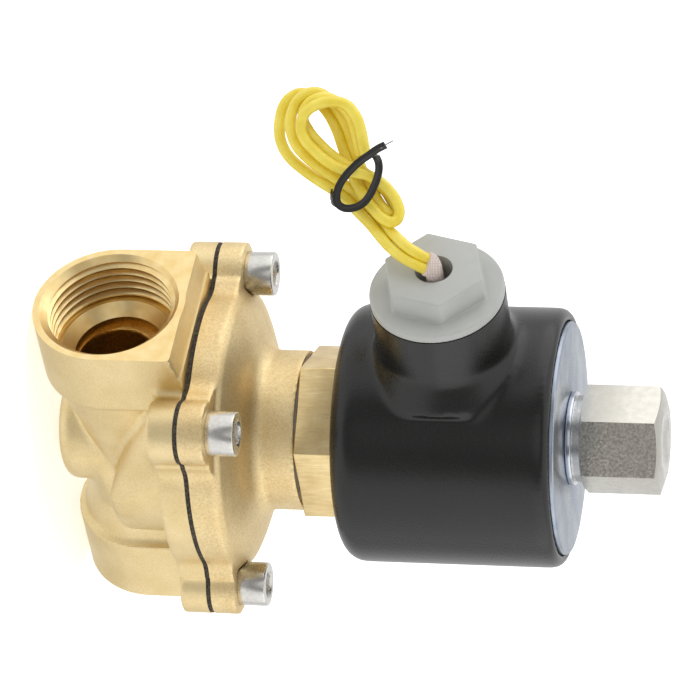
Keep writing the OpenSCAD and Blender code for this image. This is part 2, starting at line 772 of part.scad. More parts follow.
valve_body();
diaphragm();
bonnet();
bonnet_screws();
base_gasket();
tube_base();
armature_tube();
fixed_pole();
tube_stud();
return_spring();
top_washer();
top_nut();
pilot_hub();
seat_disc();
diaphragm_plate();
lift_cage();
hub_nut();
armature();
push_rod();
rod_collar();
pilot_seal();
coil_can();
end_plate();
flux_washer();
bobbin();
winding();
coil_wrap();
conduit_plug();
lead_sleeve();
lead_a();
lead_b();
lead_hank();
twist_tie();
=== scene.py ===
# Two-way solenoid valve, dressed for the render. Lengths in the dictionaries are millimetres.
from math import cos, hypot, pi, radians, sin, tan

import bpy
from mathutils import Matrix, Vector


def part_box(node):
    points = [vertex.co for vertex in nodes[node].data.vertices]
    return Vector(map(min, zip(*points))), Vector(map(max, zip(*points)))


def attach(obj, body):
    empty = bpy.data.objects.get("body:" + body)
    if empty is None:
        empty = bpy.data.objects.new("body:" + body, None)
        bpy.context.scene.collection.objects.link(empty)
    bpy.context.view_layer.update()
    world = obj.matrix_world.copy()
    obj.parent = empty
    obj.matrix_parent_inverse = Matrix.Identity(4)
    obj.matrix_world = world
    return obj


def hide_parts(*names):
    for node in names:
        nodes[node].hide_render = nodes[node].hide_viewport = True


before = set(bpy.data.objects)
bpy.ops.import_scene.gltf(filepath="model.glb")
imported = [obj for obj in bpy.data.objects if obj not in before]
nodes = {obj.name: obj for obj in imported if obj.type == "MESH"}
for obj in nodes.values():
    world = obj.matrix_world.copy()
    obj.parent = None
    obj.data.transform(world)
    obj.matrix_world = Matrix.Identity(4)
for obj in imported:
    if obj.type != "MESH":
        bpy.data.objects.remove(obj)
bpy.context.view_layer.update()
mm = 0.001

# How squarely a picked face looks along its axis, how near its centre lies to the plane it is
# picked by, how far a cutting tool reaches past what it cuts, and how deep one solid goes into
# the next before the two are joined
squarely = 0.9
flatness = 0.02
toolReach = 1
overlap = 0.3


def boxOf(node):
    low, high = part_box(node)
    return low / mm, high / mm


# Heights and the stem's place, read from the frame
washerLow, washerHigh = boxOf("top_washer")
stemX = (washerLow.x + washerHigh.x) / 2
bodyLow, bodyHigh = boxOf("valve_body")
bonnetLow = boxOf("bonnet")[0]
gasketHigh = boxOf("base_gasket")[1]
baseLow, baseHigh = boxOf("tube_base")
canHigh = boxOf("coil_can")[1]
plateLow, plateHigh = boxOf("end_plate")
nutLow, nutHigh = boxOf("top_nut")
plugLow, plugHigh = boxOf("conduit_plug")
conduitZ = (plugLow.z + plugHigh.z) / 2
outletFace = bodyHigh.x
inletFace = bodyLow.x
print("frame read, stem at", round(stemX, 2))


# Camera at the photograph's viewing angle, lying on its side so that the stem runs to the right
photoCamera = {
    "place": (666.01, 585.08, 219.63),
    "right": (-0.12635, -0.15786, 0.97934),
    "up": (0.69669, -0.71691, -0.02567),
    "back": (0.70616, 0.67906, 0.20056),
    "lens": 226.37,
    "sensor": 36,
    "nearest": 0.01,
    "farthest": 100,
}


def addCamera():
    bpy.ops.object.camera_add(location=Vector(photoCamera["place"]) * mm)
    camera = bpy.context.object
    camera.name = "photoCamera"
    turn = Matrix([photoCamera["right"], photoCamera["up"], photoCamera["back"]]).transposed()
    camera.rotation_euler = turn.to_euler()
    camera.data.sensor_width = photoCamera["sensor"]
    camera.data.lens = photoCamera["lens"]
    camera.data.clip_start = photoCamera["nearest"]
    camera.data.clip_end = photoCamera["farthest"]
    bpy.context.scene.camera = camera
    print("camera set")


addCamera()


# Small helpers for selecting, shaping and finishing
def clearSelection():
    if bpy.context.object and bpy.context.object.mode != "OBJECT":
        bpy.ops.object.mode_set(mode="OBJECT")
    bpy.ops.object.select_all(action="DESELECT")


def pick(piece):
    clearSelection()
    piece.select_set(True)
    bpy.context.view_layer.objects.active = piece


def settle(piece):
    # the place goes into the mesh, so the object itself stays at the origin
    pick(piece)
    bpy.ops.object.transform_apply(location=True, rotation=True, scale=True)


def useModifier(piece, kind, **settings):
    change = piece.modifiers.new(kind.lower(), kind)
    for name, value in settings.items():
        setattr(change, name, value)
    pick(piece)
    bpy.ops.object.modifier_apply(modifier=change.name)


def combine(piece, tool, operation):
    useModifier(piece, "BOOLEAN", object=tool, operation=operation, solver="EXACT")
    bpy.data.objects.remove(tool, do_unlink=True)


def selectIn(piece, wanted, mode="FACE"):
    pick(piece)
    bpy.ops.object.mode_set(mode="EDIT")
    bpy.ops.mesh.select_mode(type=mode)
    bpy.ops.mesh.select_all(action="DESELECT")
    bpy.ops.object.mode_set(mode="OBJECT")
    parts = piece.data.polygons if mode == "FACE" else piece.data.vertices
    for part in parts:
        part.select = wanted(part)
    bpy.ops.object.mode_set(mode="EDIT")


def editDone():
    bpy.ops.object.mode_set(mode="OBJECT")


def faceOutwards(piece):
    pick(piece)
    bpy.ops.object.mode_set(mode="EDIT")
    bpy.ops.mesh.select_all(action="SELECT")
    bpy.ops.mesh.remove_doubles(threshold=0.000001)
    bpy.ops.mesh.normals_make_consistent(inside=False)
    bpy.ops.object.mode_set(mode="OBJECT")


def smoothSides(piece, angle):
    pick(piece)
    bpy.ops.object.shade_smooth_by_angle(angle=radians(angle))


def cornerOf(flats):
    # radius of a hexagon's corners, from its size across the flats
    return flats / 2 / cos(pi / 6)


def addRod(name, radius, low, high, sides=96, turn=0, topRadius=None):
    # an upright cylinder or cone on the stem axis
    place = Vector((stemX, 0, (low + high) / 2)) * mm
    clearSelection()
    bpy.ops.mesh.primitive_cone_add(vertices=sides, radius1=radius * mm,
                                    radius2=(topRadius or radius) * mm,
                                    depth=(high - low) * mm, location=place,
                                    rotation=(0, 0, radians(turn - 90)))
    piece = bpy.context.object
    piece.name = name
    settle(piece)
    return piece


def addBar(name, radius, low, high, height=0, sides=96, turn=0, endRadius=None):
    # a cylinder or cone that lies along X, at a height above the port axis
    place = Vector(((low + high) / 2, 0, height)) * mm
    clearSelection()
    bpy.ops.mesh.primitive_cone_add(vertices=sides, radius1=radius * mm,
                                    radius2=(endRadius or radius) * mm,
                                    depth=(high - low) * mm, location=place)
    piece = bpy.context.object
    piece.name = name
    quarterTurn = Matrix(((0, 0, 1), (1, 0, 0), (0, 1, 0)))
    ownTurn = Matrix.Rotation(radians(turn - 90), 3, "X")
    piece.rotation_euler = (ownTurn @ quarterTurn).to_euler()
    settle(piece)
    return piece


def copyNode(name, node):
    # a loose CAD mesh, merged so that it can be shaped
    piece = bpy.data.objects.new(name, nodes[node].data.copy())
    bpy.context.scene.collection.objects.link(piece)
    piece.data.materials.clear()
    faceOutwards(piece)
    return piece


def onPlane(axis, sign, height):
    # picks the faces that lie on one plane and look one way along the axis
    def wanted(face):
        looks, lies = getattr(face.normal, axis), getattr(face.center, axis)
        return looks * sign > squarely and abs(lies / mm - height) < flatness

    return wanted


def growFaces(piece, wanted, offset):
    selectIn(piece, wanted)
    bpy.ops.mesh.extrude_region_move(TRANSFORM_OT_translate={"value": Vector(offset) * mm})
    editDone()


def cutFlat(piece, place, outward):
    # a machined face: all that lies beyond it is cut off
    pick(piece)
    bpy.ops.object.mode_set(mode="EDIT")
    bpy.ops.mesh.select_all(action="SELECT")
    bpy.ops.mesh.bisect(plane_co=Vector(place) * mm, plane_no=outward, use_fill=True, clear_outer=True)
    bpy.ops.object.mode_set(mode="OBJECT")


def softenEdges(piece, width, segments, angle):
    useModifier(piece, "BEVEL", width=width * mm, segments=segments, limit_method="ANGLE",
                angle_limit=radians(angle))


def castSkin(piece, voxel, passes):
    useModifier(piece, "REMESH", mode="VOXEL", voxel_size=voxel * mm, use_smooth_shade=True)
    useModifier(piece, "SMOOTH", factor=0.5, iterations=passes)


def countTriangles(piece):
    return sum(len(face.vertices) - 2 for face in piece.data.polygons)


# Materials
def newFinish(name, colour, roughness, metallic=0.0):
    finish = bpy.data.materials.new(name)
    finish.use_nodes = True
    shader = finish.node_tree.nodes["Principled BSDF"]
    shader.inputs["Base Color"].default_value = (*colour, 1)
    shader.inputs["Roughness"].default_value = roughness
    shader.inputs["Metallic"].default_value = metallic
    return finish, finish.node_tree, shader


def objectPlace(tree):
    return tree.nodes.new("ShaderNodeTexCoord").outputs["Object"]


def grain(tree, size, detail=3.0, place=None, rough=0.5):
    # noise whose lumps are about one size, in millimetres
    noise = tree.nodes.new("ShaderNodeTexNoise")
    noise.inputs["Scale"].default_value = 1 / (size * mm)
    noise.inputs["Detail"].default_value = detail
    noise.inputs["Roughness"].default_value = rough
    tree.links.new(place or objectPlace(tree), noise.inputs["Vector"])
    return noise.outputs["Fac"]


def shades(tree, value, darkest, brightest, low=0.3, high=0.7):
    ramp = tree.nodes.new("ShaderNodeValToRGB")
    ramp.color_ramp.elements[0].position = low
    ramp.color_ramp.elements[0].color = (*darkest, 1)
    ramp.color_ramp.elements[1].position = high
    ramp.color_ramp.elements[1].color = (*brightest, 1)
    tree.links.new(value, ramp.inputs["Fac"])
    return ramp.outputs["Color"]


def span(tree, value, start, end, low=0.3, high=0.7):
    change = tree.nodes.new("ShaderNodeMapRange")
    change.inputs["From Min"].default_value = low
    change.inputs["From Max"].default_value = high
    change.inputs["To Min"].default_value = start
    change.inputs["To Max"].default_value = end
    tree.links.new(value, change.inputs["Value"])
    return change.outputs["Result"]


def mathStep(tree, kind, first, second=None):
    step = tree.nodes.new("ShaderNodeMath")
    step.operation = kind
    for socket, value in zip(step.inputs, (first, second)):
        if isinstance(value, (int, float)):
            socket.default_value = value
        elif value is not None:
            tree.links.new(value, socket)
    return step.outputs["Value"]


def blendColours(tree, share, first, second, kind="MIX"):
    mix = tree.nodes.new("ShaderNodeMix")
    mix.data_type = "RGBA"
    mix.blend_type = kind
    if isinstance(share, (int, float)):
        mix.inputs["Factor"].default_value = share
    else:
        tree.links.new(share, mix.inputs["Factor"])
    for socket, value in ((mix.inputs["A"], first), (mix.inputs["B"], second)):
        if isinstance(value, tuple):
            socket.default_value = (*value, 1)
        else:
            tree.links.new(value, socket)
    return mix.outputs["Result"]


def raised(tree, shader, height, distance, strength=1.0, under=None):
    bump = tree.nodes.new("ShaderNodeBump")
    bump.inputs["Strength"].default_value = strength
    bump.inputs["Distance"].default_value = distance * mm
    tree.links.new(height, bump.inputs["Height"])
    if under:
        tree.links.new(under, bump.inputs["Normal"])
    tree.links.new(bump.outputs["Normal"], shader.inputs["Normal"])
    return bump.outputs["Normal"]


def castBrass(name, dark, bright, speckShare, size, depth):
    # blasted casting: cloudy tone, fine dark specks and a shallow grain
    finish, tree, shader = newFinish(name, bright, 0.42, 1.0)
    patches = grain(tree, 8, 4)
    fine = grain(tree, size, 5, rough=0.7)
    base = shades(tree, patches, dark, bright)
    speck = shades(tree, fine, (0.36, 0.25, 0.12), (1, 1, 1), low=0.34, high=0.6)
    tree.links.new(blendColours(tree, speckShare, base, speck, "MULTIPLY"), shader.inputs["Base Color"])
    tree.links.new(span(tree, fine, 0.56, 0.42), shader.inputs["Roughness"])
    coarse = raised(tree, shader, grain(tree, 2.4, 2), 0.07)
    raised(tree, shader, fine, depth, under=coarse)
    return finish


def turnedBrass():
    # machined faces, with a faint fine grain
    finish, tree, shader = newFinish("turnedBrass", (0.86, 0.66, 0.32), 0.24, 1.0)
    wear = grain(tree, 3, 3)
    colour = shades(tree, wear, (0.86, 0.63, 0.27), (0.95, 0.76, 0.40))
    tree.links.new(colour, shader.inputs["Base Color"])
    tree.links.new(span(tree, wear, 0.42, 0.32), shader.inputs["Roughness"])
    raised(tree, shader, grain(tree, 0.2, 2), 0.008)
    return finish


def shadedBoreBrass():
    # rough cast wall deep in the ports, in a darker brown that is painted shade where little light reaches
    finish, tree, shader = newFinish("shadedBoreBrass", (0.60, 0.36, 0.10), 0.42, 1.0)
    fine = grain(tree, 0.5, 4)
    colour = shades(tree, fine, (0.52, 0.29, 0.07), (0.74, 0.47, 0.14))
    tree.links.new(colour, shader.inputs["Base Color"])
    raised(tree, shader, fine, 0.02)
    return finish


def hexBrass():
    # drawn bar: long faint streaks along the stem
    finish, tree, shader = newFinish("hexBrass", (0.82, 0.64, 0.32), 0.3, 1.0)
    stretch = tree.nodes.new("ShaderNodeMapping")
    stretch.inputs["Scale"].default_value = (1, 1, 0.15)
    tree.links.new(objectPlace(tree), stretch.inputs["Vector"])
    streaks = grain(tree, 0.5, 4, stretch.outputs["Vector"], 0.6)
    tarnish = grain(tree, 4, 3)
    base = shades(tree, tarnish, (0.76, 0.57, 0.28), (0.93, 0.75, 0.41))
    dull = shades(tree, streaks, (0.5, 0.4, 0.25), (1, 1, 1))
    streakShare = 0.3
    colour = blendColours(tree, streakShare, base, dull, "MULTIPLY")
    tree.links.new(colour, shader.inputs["Base Color"])
    tree.links.new(span(tree, streaks, 0.42, 0.26), shader.inputs["Roughness"])
    raised(tree, shader, streaks, 0.02)
    return finish


def platedMetal(name, colour, roughness, speck=0.05, size=0.5, depth=0.01):
    finish, tree, shader = newFinish(name, colour, roughness, 1.0)
    cloud = grain(tree, size, 4)
    darker = tuple(part * (1 - speck) for part in colour)
    tree.links.new(shades(tree, cloud, darker, colour, low=0.35, high=0.65), shader.inputs["Base Color"])
    tree.links.new(span(tree, cloud, roughness * 1.25, roughness * 0.85), shader.inputs["Roughness"])
    raised(tree, shader, cloud, depth)
    return finish


def zincPlate():
    # turned rings and a blue cast of the passivated zinc
    finish, tree, shader = newFinish("zincPlate", (0.55, 0.60, 0.68), 0.28, 1.0)
    place = tree.nodes.new("ShaderNodeMapping")
    place.inputs["Location"].default_value = (-stemX * mm, 0, 0)
    tree.links.new(objectPlace(tree), place.inputs["Vector"])
    split = tree.nodes.new("ShaderNodeSeparateXYZ")
    tree.links.new(place.outputs["Vector"], split.inputs["Vector"])
    along = mathStep(tree, "POWER", split.outputs["X"], 2)
    across = mathStep(tree, "POWER", split.outputs["Y"], 2)
    radius = mathStep(tree, "SQRT", mathStep(tree, "ADD", along, across))
    ringPlace = tree.nodes.new("ShaderNodeCombineXYZ")
    tree.links.new(radius, ringPlace.inputs["X"])
    rings = grain(tree, 0.25, 2, ringPlace.outputs["Vector"])
    cloud = grain(tree, 6, 3)
    base = shades(tree, cloud, (0.30, 0.34, 0.42), (0.48, 0.52, 0.56))
    around = tree.nodes.new("ShaderNodeTangent")
    around.direction_type = "RADIAL"
    around.axis = "Z"
    tree.links.new(around.outputs["Tangent"], shader.inputs["Tangent"])
    shader.inputs["Anisotropic"].default_value = 0.8
    tree.links.new(base, shader.inputs["Base Color"])
    tree.links.new(span(tree, rings, 0.36, 0.22), shader.inputs["Roughness"])
    raised(tree, shader, rings, 0.012)
    return finish


def blackEnamel():
    # baked paint with a slight orange peel
    finish, tree, shader = newFinish("blackEnamel", (0.012, 0.012, 0.011), 0.34)
    orangePeel = grain(tree, 0.9, 2)
    dust = grain(tree, 0.25, 3)
    colour = shades(tree, grain(tree, 14, 3), (0.0045, 0.0045, 0.004), (0.007, 0.007, 0.0065))
    tree.links.new(colour, shader.inputs["Base Color"])
    tree.links.new(span(tree, dust, 0.33, 0.25), shader.inputs["Roughness"])
    raised(tree, shader, orangePeel, 0.018)
    return finish


def moulded(name, colour, roughness=0.45, depth=0.01, cloudiness=0.06):
    finish, tree, shader = newFinish(name, colour, roughness)
    cloud = grain(tree, 4, 3)
    fine = grain(tree, 0.3, 3)
    darker = tuple(part * (1 - cloudiness) for part in colour)
    tree.links.new(shades(tree, cloud, darker, colour), shader.inputs["Base Color"])
    tree.links.new(span(tree, fine, roughness + 0.06, roughness - 0.06), shader.inputs["Roughness"])
    raised(tree, shader, fine, depth)
    return finish


def gasketRubber():
    # rubber with the pale fibres of its fabric at the cut edge
    finish, tree, shader = newFinish("gasketRubber", (0.03, 0.026, 0.022), 0.8)
    fibre = grain(tree, 0.5, 5, rough=0.7)
    colour = shades(tree, fibre, (0.016, 0.014, 0.012), (0.13, 0.10, 0.07), low=0.42, high=0.66)
    tree.links.new(colour, shader.inputs["Base Color"])
    raised(tree, shader, fibre, 0.12)
    return finish


def leadYellow():
    # soft insulation that lets a little light in
    finish, tree, shader = newFinish("leadYellow", (0.82, 0.62, 0.07), 0.3)
    shader.inputs["Subsurface Weight"].default_value = 0.08
    shader.inputs["Subsurface Radius"].default_value = (0.6 * mm, 0.4 * mm, 0.1 * mm)
    shader.inputs["Coat Weight"].default_value = 0.3
    shader.inputs["Coat Roughness"].default_value = 0.2
    cloud = grain(tree, 3, 2)
    colour = shades(tree, cloud, (0.90, 0.70, 0.05), (0.98, 0.81, 0.11))
    tree.links.new(colour, shader.inputs["Base Color"])
    raised(tree, shader, grain(tree, 0.8, 2), 0.02)
    return finish


def braidedGlass():
    # two families of yarn crossing each other on the face of the sleeve
    finish, tree, shader = newFinish("braidedGlass", (0.86, 0.74, 0.66), 0.75)
    shader.inputs["Sheen Weight"].default_value = 0.3
    split = tree.nodes.new("ShaderNodeSeparateXYZ")
    tree.links.new(objectPlace(tree), split.inputs["Vector"])
    yarnPitch = 0.85
    out = mathStep(tree, "SUBTRACT", split.outputs["X"], split.outputs["Y"])
    waves = []
    for kind in ("ADD", "SUBTRACT"):
        course = mathStep(tree, kind, out, split.outputs["Z"])
        waves.append(mathStep(tree, "SINE", mathStep(tree, "MULTIPLY", course, 2 * pi / (yarnPitch * mm))))
    weave = mathStep(tree, "MULTIPLY", *waves)
    colour = shades(tree, weave, (0.70, 0.56, 0.50), (0.92, 0.82, 0.75), low=0, high=0.8)
    tree.links.new(colour, shader.inputs["Base Color"])
    raised(tree, shader, weave, 0.08)
    return finish


finishes = {
    "cast": castBrass("bodyBrass", (0.82, 0.65, 0.34), (0.92, 0.755, 0.435),
                      speckShare=0.16, size=0.30, depth=0.03),
    "bonnet": castBrass("bonnetBrass", (0.85, 0.66, 0.35), (0.96, 0.79, 0.46),
                        speckShare=0.26, size=0.42, depth=0.06),
    "turned": turnedBrass(),
    "bore": shadedBoreBrass(),
    "hexagon": hexBrass(),
    "screw": platedMetal("screwNickel", (0.74, 0.72, 0.68), 0.26, speck=0.12, size=0.8, depth=0.006),
    "nut": platedMetal("nutNickel", (0.62, 0.60, 0.545), 0.27, speck=0.06, size=1.5, depth=0.005),
    # darker, mottled and rougher nickel for the nut face toward the camera; the darker colour is painted
    # shade
    "rough": platedMetal("nutRoughShaded", (0.66, 0.62, 0.55), 0.32, speck=0.45, size=0.55, depth=0.10),
    "washer": platedMetal("washerZinc", (0.60, 0.63, 0.69), 0.13, speck=0.08, size=1.2, depth=0.004),
    "fibre": moulded("gasketFibre", (0.22, 0.185, 0.15), 0.7, depth=0.03, cloudiness=0.25),
    "zinc": zincPlate(),
    "steel": platedMetal("stainlessSteel", (0.60, 0.60, 0.60), 0.25, speck=0.08, size=0.6, depth=0.006),
    "enamel": blackEnamel(),
    "plug": moulded("plugGrey", (0.49, 0.50, 0.475), 0.42, depth=0.014),
    "white": moulded("bobbinWhite", (0.80, 0.79, 0.74), 0.4),
    "rubber": gasketRubber(),
    "seal": moulded("sealBlack", (0.02, 0.02, 0.02), 0.6, depth=0.02),
    "copper": platedMetal("copperWire", (0.80, 0.36, 0.18), 0.3, speck=0.2, size=0.4, depth=0.05),
    "tape": moulded("wrapTape", (0.80, 0.62, 0.16), 0.5),
    "sleeve": braidedGlass(),
    "yellow": leadYellow(),
    "tie": moulded("tieBlack", (0.018, 0.017, 0.016), 0.38, depth=0.015),
    "wire": platedMetal("tieWire", (0.60, 0.60, 0.62), 0.2, speck=0.1, size=0.3, depth=0.004),
}
print("finishes made:", len(finishes))


def dress(piece, *names):
    piece.data.materials.clear()
    for name in names:
        piece.data.materials.append(finishes[name])


def dressFaces(piece, name, wanted):
    index = piece.data.materials.find(finishes[name].name)
    for face in piece.data.polygons:
        if wanted(face):
            face.material_index = index


def carry(piece, body, *replaced):
    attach(piece, body)
    if replaced:
        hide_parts(*replaced)
    print(piece.name, "made,", countTriangles(piece) if piece.type == "MESH" else "curve")


# The two leads. Points are [out, front, height] as seen from the stem, the same as in the
# part's own source up to the tie, and then one listed turn of the hank after the other.
leads = {
    "diameter": 2.2,
    "half": 1.2,
    "start": 20.3,
    "straightEnd": 45.3,
    "step": 5,
    "turn": -45,
    "height": conduitZ,
    "stepsAlong": 6,
    "stepsRound": 4,
}
lowerLead = [
    (32.1, 34.2, 66.0), (32.7, 35.1, 64.9), (33.5, 35.3, 63.3), (34.3, 35.0, 61.5), (35.7, 34.4, 59.2),
    (37.8, 33.8, 56.7), (41.1, 32.8, 53.6), (43.3, 31.8, 51.1), (45.4, 31.2, 48.9), (47.4, 31.0, 46.2),
    (49.3, 31.0, 43.0), (51.5, 31.0, 39.7), (53.8, 31.0, 37.0), (56.4, 31.0, 35.4), (59.1, 31.0, 34.9),
    (61.7, 30.9, 35.1), (64.0, 30.6, 35.8), (65.5, 30.4, 37.2), (66.1, 30.4, 39.2), (65.1, 30.4, 41.5),
    (63.0, 30.5, 43.8), (59.9, 30.7, 45.8), (56.2, 30.8, 47.3), (52.5, 31.2, 48.7), (49.3, 32.0, 50.3),
    (46.4, 33.2, 52.3), (43.9, 34.0, 54.5), (42.1, 34.4, 56.6), (41.7, 34.2, 58.4), (43.0, 33.6, 59.3),
    (45.2, 33.2, 58.8), (47.5, 33.2, 57.3), (49.3, 33.8, 55.4), (50.4, 34.6, 53.4), (50.9, 35.2, 51.2),
    (51.4, 35.2, 48.6), (52.7, 35.0, 45.7), (54.7, 34.9, 43.1), (57.0, 34.9, 40.9), (59.4, 35.0, 40.0),
    (61.9, 35.2, 40.7), (63.7, 35.4, 43.0), (64.4, 35.4, 46.0), (63.9, 35.3, 48.7), (61.9, 35.1, 50.6),
    (59.2, 35.0, 51.7), (56.5, 35.0, 52.3), (53.6, 35.0, 52.9),
]
upperLead = [
    (34.2, 33.4, 66.1), (34.9, 34.9, 64.8), (35.8, 35.2, 63.2), (36.8, 34.8, 61.4), (38.6, 34.0, 59.1),
    (40.0, 32.8, 57.3), (41.5, 31.6, 55.4), (43.1, 30.7, 53.4), (45.3, 30.3, 51.4), (47.4, 30.4, 49.4),
    (49.3, 31.2, 47.0), (51.2, 32.2, 44.2), (53.5, 32.4, 41.1), (55.8, 32.4, 38.8), (58.1, 32.4, 37.7),
    (60.3, 32.5, 37.3), (62.4, 32.6, 37.7), (64.5, 32.7, 38.7), (65.8, 32.6, 40.3), (66.2, 32.3, 42.5),
    (65.1, 31.8, 44.6), (62.8, 31.4, 46.5), (59.9, 31.0, 48.1), (56.6, 30.6, 49.2), (53.5, 30.4, 50.4),
    (50.4, 30.4, 51.8), (47.6, 31.2, 53.5), (45.4, 32.2, 55.0), (43.8, 32.7, 56.5), (43.3, 32.2, 57.5),
    (44.5, 31.4, 57.8), (46.4, 31.2, 56.9), (48.4, 31.6, 55.4), (49.9, 32.6, 53.7), (51.5, 33.3, 51.4),
    (52.4, 33.4, 48.8), (54.1, 33.3, 46.0), (56.4, 33.1, 43.3), (58.9, 33.1, 41.1), (61.3, 33.2, 40.0),
    (63.4, 33.4, 40.6), (64.9, 33.6, 42.4), (65.2, 33.7, 44.6), (64.3, 33.6, 46.8), (62.4, 33.3, 48.8),
    (59.9, 33.1, 50.0), (56.9, 33.0, 50.8), (54.2, 33.0, 51.5),
]


def leadPoint(point):
    out, front, height = point
    turn = radians(leads["turn"])
    alongX = out * cos(turn) - front * sin(turn)
    alongY = out * sin(turn) + front * cos(turn)
    return Vector((stemX + alongX, alongY, height))


def smoothCurve(name, points, radius):
    line = bpy.data.curves.new(name, "CURVE")
    line.dimensions = "3D"
    line.resolution_u = leads["stepsAlong"]
    line.bevel_depth = radius * mm
    line.bevel_resolution = leads["stepsRound"]
    line.use_fill_caps = True
    spline = line.splines.new("BEZIER")
    spline.bezier_points.add(len(points) - 1)
    for knot, point in zip(spline.bezier_points, points):
        knot.co = point * mm
        knot.handle_left_type = "AUTO"
        knot.handle_right_type = "AUTO"
    piece = bpy.data.objects.new(name, line)
    bpy.context.scene.collection.objects.link(piece)
    return piece


def curveLength(piece):
    bare = piece.data.copy()
    bare.bevel_depth = 0
    probe = bpy.data.objects.new("probe", bare)
    bpy.context.scene.collection.objects.link(probe)
    depsgraph = bpy.context.evaluated_depsgraph_get()
    points = [v.co.copy() for v in probe.evaluated_get(depsgraph).to_mesh().vertices]
    bpy.data.objects.remove(probe, do_unlink=True)
    return sum((b - a).length for a, b in zip(points, points[1:]))


def sweepOutline(name, points, outline, tilt):
    # a flat outline swept along a smooth path, turned into a mesh
    sheet = bpy.data.curves.new(name + "Outline", "CURVE")
    rim = sheet.splines.new("POLY")
    rim.points.add(len(outline) - 1)
    for knot, (across, up) in zip(rim.points, outline):
        knot.co = (across * mm, up * mm, 0, 1)
    rim.use_cyclic_u = True
    guide = bpy.data.objects.new(name + "Outline", sheet)
    bpy.context.scene.collection.objects.link(guide)
    piece = smoothCurve(name, points, 0)
    piece.data.bevel_mode = "OBJECT"
    piece.data.bevel_object = guide
    for knot in piece.data.splines[0].bezier_points:
        knot.tilt = radians(tilt)
    pick(piece)
    bpy.ops.object.convert(target="MESH")
    bpy.data.objects.remove(guide, do_unlink=True)
    faceOutwards(piece)
    return piece


def makeLead(name, side, route, replaced):
    straight = []
    reach = leads["start"]
    while reach <= leads["straightEnd"]:
        straight.append(Vector((stemX + reach, side * leads["half"], leads["height"])))
        reach += leads["step"]
    points = straight + [leadPoint(point) for point in route]
    lead = smoothCurve(name, points, leads["diameter"] / 2)
    dress(lead, "yellow")
    carry(lead, "coil", *replaced)
    length = curveLength(lead)
    print(name, "length", round(length / mm, 1))


makeLead("leadLower", 1, lowerLead, ["lead_a", "lead_hank"])
makeLead("leadUpper", -1, upperLead, ["lead_b"])
print("leads laid")


# Braided sleeve round both leads: it comes out of the plug's hole and follows their bend
braidedSleeve = {
    "halfWidth": 2.6,
    "halfHeight": 1.65,
    "wall": 0.3,
    "sides": 40,
    "tilt": 0,
    "straight": (30.2, 34, 38, 42, 44.6),
    "route": ((32.9, 33.6, 66.1), (33.5, 34.7, 65.8), (33.8, 35.2, 65.1)),
}


def ovalOutline(halfWidth, halfHeight, sides):
    angles = [2 * pi * k / sides for k in range(sides)]
    return [(halfWidth * cos(angle), halfHeight * sin(angle)) for angle in angles]


def makeSleeve():
    s = braidedSleeve
    points = [Vector((stemX + reach, 0, conduitZ)) for reach in s["straight"]]
    points += [leadPoint(point) for point in s["route"]]
    outline = ovalOutline(s["halfWidth"], s["halfHeight"], s["sides"])
    sleeve = sweepOutline("braidedSleeve", points, outline, s["tilt"])
    selectIn(sleeve, lambda f: len(f.vertices) > s["sides"] / 2)
    bpy.ops.mesh.delete(type="ONLY_FACE")
    editDone()
    useModifier(sleeve, "SOLIDIFY", thickness=s["wall"] * mm, offset=-1)
    dress(sleeve, "sleeve")
    smoothSides(sleeve, angle=50)
    carry(sleeve, "coil", "lead_sleeve")


makeSleeve()


# Twist tie: a flat strip with a wire in its middle, closed round the bundle and folded at the knot
twistTie = {
    "halfWidth": 0.74,
    "wing": 0.17,
    "ridge": 0.3,
    "tilt": 90,
    "wireRadius": 0.16,
    "strip": (
        (56.2, 38.6, 57.3), (55.4, 38.3, 55.7), (54.2, 38.0, 54.0), (53.2, 37.7, 52.5), (51.9, 37.5, 51.0),
        (50.4, 37.3, 49.6), (49.0, 37.2, 48.6), (47.7, 37.1, 48.0), (46.3, 36.9, 47.7), (45.0, 36.7, 47.9),
        (44.2, 36.6, 48.8), (44.0, 36.6, 50.1), (44.3, 36.6, 51.5), (45.1, 36.7, 52.9), (46.4, 36.8, 54.0),
        (48.2, 36.8, 54.9), (49.9, 36.8, 55.5), (51.6, 36.7, 55.8), (52.9, 36.3, 55.6), (53.9, 35.4, 55.0),
    ),
    "hidden": (
        (53.9, 35.4, 55.0), (54.3, 33.6, 54.0), (54.0, 31.2, 51.8), (53.2, 29.0, 49.4), (51.8, 28.2, 47.3),
        (50.0, 28.6, 46.0), (48.0, 30.4, 45.6), (46.4, 33.0, 45.9), (45.4, 35.2, 46.6), (44.9, 36.6, 47.6),
    ),
    "wire": ((55.6, 38.5, 56.4), (56.2, 38.6, 57.3), (57.0, 38.6, 58.8)),
}


def makeTie():
    s = twistTie
    half, wing, ridge = s["halfWidth"], s["wing"], s["ridge"]
    outline = [(-half, -wing), (-ridge, -wing), (0, -ridge), (ridge, -wing), (half, -wing),
               (half, wing), (ridge, wing), (0, ridge), (-ridge, wing), (-half, wing)]
    for name, route in (("tieStrip", s["strip"]), ("tieBack", s["hidden"])):
        strip = sweepOutline(name, [leadPoint(point) for point in route], outline, s["tilt"])
        dress(strip, "tie")
        smoothSides(strip, angle=40)
        carry(strip, "coil")
        if name == "tieStrip":
            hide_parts("twist_tie")
    wire = smoothCurve("tieWire", [leadPoint(point) for point in s["wire"]], s["wireRadius"])
    pick(wire)
    bpy.ops.object.convert(target="MESH")
    dress(wire, "wire")
    carry(wire, "coil")


makeTie()


